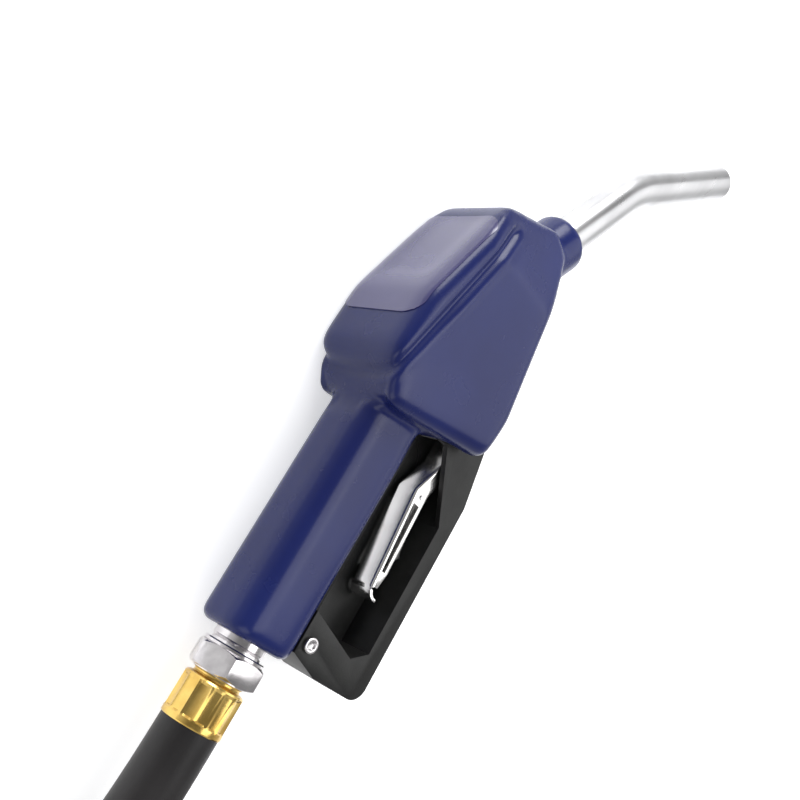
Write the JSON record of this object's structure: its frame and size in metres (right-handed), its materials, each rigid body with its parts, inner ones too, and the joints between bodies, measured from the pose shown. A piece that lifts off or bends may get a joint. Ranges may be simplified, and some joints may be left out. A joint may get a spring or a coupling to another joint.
{
  "type": "automatic fuel nozzle",
  "caption": "Automatic fuel nozzle with a blue jacket, black hand guard, bright lever, bent spout and a black delivery hose with brass ferrules.",
  "frame": {"origin": "on the flat left side face, level with the handle's axis, under the shut-off latch's stem", "axes": "+X forward along the handle towards the spout, +Y towards the nozzle's top, +Z towards its right side, up as it lies on its left side"},
  "size_m": [0.9172, 0.4127, 0.066],
  "materials": {
    "jacket": "soft vinyl, deep navy, satin to glossy, slightly uneven from hand wear",
    "casting": "die-cast aluminium, fine grain",
    "stainless": "turned stainless steel",
    "brass": "turned brass, bright",
    "seal_rubber": "black nitrile rubber",
    "spring_steel": "drawn spring wire",
    "plated_steel": "zinc plated steel",
    "acetal": "white acetal",
    "spout_aluminium": "drawn aluminium tube, lightly brushed",
    "guard": "black glass-filled nylon, fine texture",
    "lever_steel": "pressed steel, bright plated",
    "label": "smooth bare label place in the jacket's colour",
    "plated_fitting": "bright plated steel",
    "hose": "black synthetic rubber cover, faint fabric-wrap texture"
  },
  "bodies": {
    "nozzle": {"hand_insulator": "jacket", "body_casting": "casting", "main_spring": "spring_steel", "valve_cap": "casting", "cap_seal": "seal_rubber", "packing_nut": "brass", "stem_seal": "seal_rubber", "trip_spring": "spring_steel", "diaphragm": "seal_rubber", "diaphragm_cover": "casting", "diaphragm_spring": "spring_steel", "cover_screws": "plated_steel", "check_guide": "casting", "check_spring": "spring_steel", "check_seat": "brass", "spout": "spout_aluminium", "spout_tip": "stainless", "sensing_tube": "stainless", "spout_seal": "seal_rubber", "spout_nut": "casting", "hand_guard": "guard", "guard_tail_screw": "plated_steel", "guard_front_screws": "plated_steel", "name_plate": "label", "inlet_adapter": "plated_fitting", "inlet_seal": "seal_rubber", "inlet_strainer": "stainless", "near_ferrule": "brass", "near_hose_stem": "plated_fitting", "hose": "hose", "hose_coil": "hose", "far_ferrule": "brass", "far_coupling": "plated_fitting"},
    "trip": {"trip_stem": "stainless", "lever_pin": "stainless", "latch_balls": "stainless"},
    "lever": {"lever": "lever_steel", "clip_pin": "stainless", "clip_spring": "spring_steel"},
    "valve": {"main_stem": "stainless", "main_poppet": "brass", "poppet_disc": "seal_rubber"},
    "clip": {"hold_open_clip": "lever_steel"},
    "latch": {"latch_pin": "stainless", "diaphragm_plate": "stainless"},
    "check": {"check_poppet": "acetal"}
  },
  "joints": [
    {"name": "trip_drop", "type": "slide", "parent": "nozzle", "child": "trip", "axis": [0, -1, 0], "range_m": [0, 0.0055], "stiffness_N_per_m": 900, "springref_m": -0.006, "deforming": ["trip_spring"]},
    {"name": "lever_pull", "type": "hinge", "parent": "trip", "child": "lever", "pos_m": [0, -0.058, 0.033], "axis": [0, 0, -1], "range_deg": [0, 8.5], "stiffness_Nm_per_rad": 2, "springref_deg": -11.46},
    {"name": "valve_lift", "type": "slide", "parent": "nozzle", "child": "valve", "axis": [0, 1, 0], "range_m": [0, 0.0052], "stiffness_N_per_m": 900, "springref_m": -0.004, "deforming": ["main_spring"]},
    {"name": "clip_swing", "type": "hinge", "parent": "lever", "child": "clip", "pos_m": [-0.074, -0.051, 0.033], "axis": [0, 0, -1], "range_deg": [-2, 6], "stiffness_Nm_per_rad": 0.05},
    {"name": "latch_lift", "type": "slide", "parent": "nozzle", "child": "latch", "axis": [0, 1, 0], "range_m": [0, 0.003], "stiffness_N_per_m": 300, "springref_m": -0.003, "deforming": ["diaphragm", "diaphragm_spring"]},
    {"name": "check_open", "type": "slide", "parent": "nozzle", "child": "check", "axis": [0.9063, -0.4226, 0], "range_m": [0, 0.005], "stiffness_N_per_m": 200, "springref_m": -0.004, "deforming": ["check_spring"]}
  ],
  "couplings": [
    {"joint": "valve_lift", "follows": "lever_pull", "m_per_rad": 0.033}
  ]
}
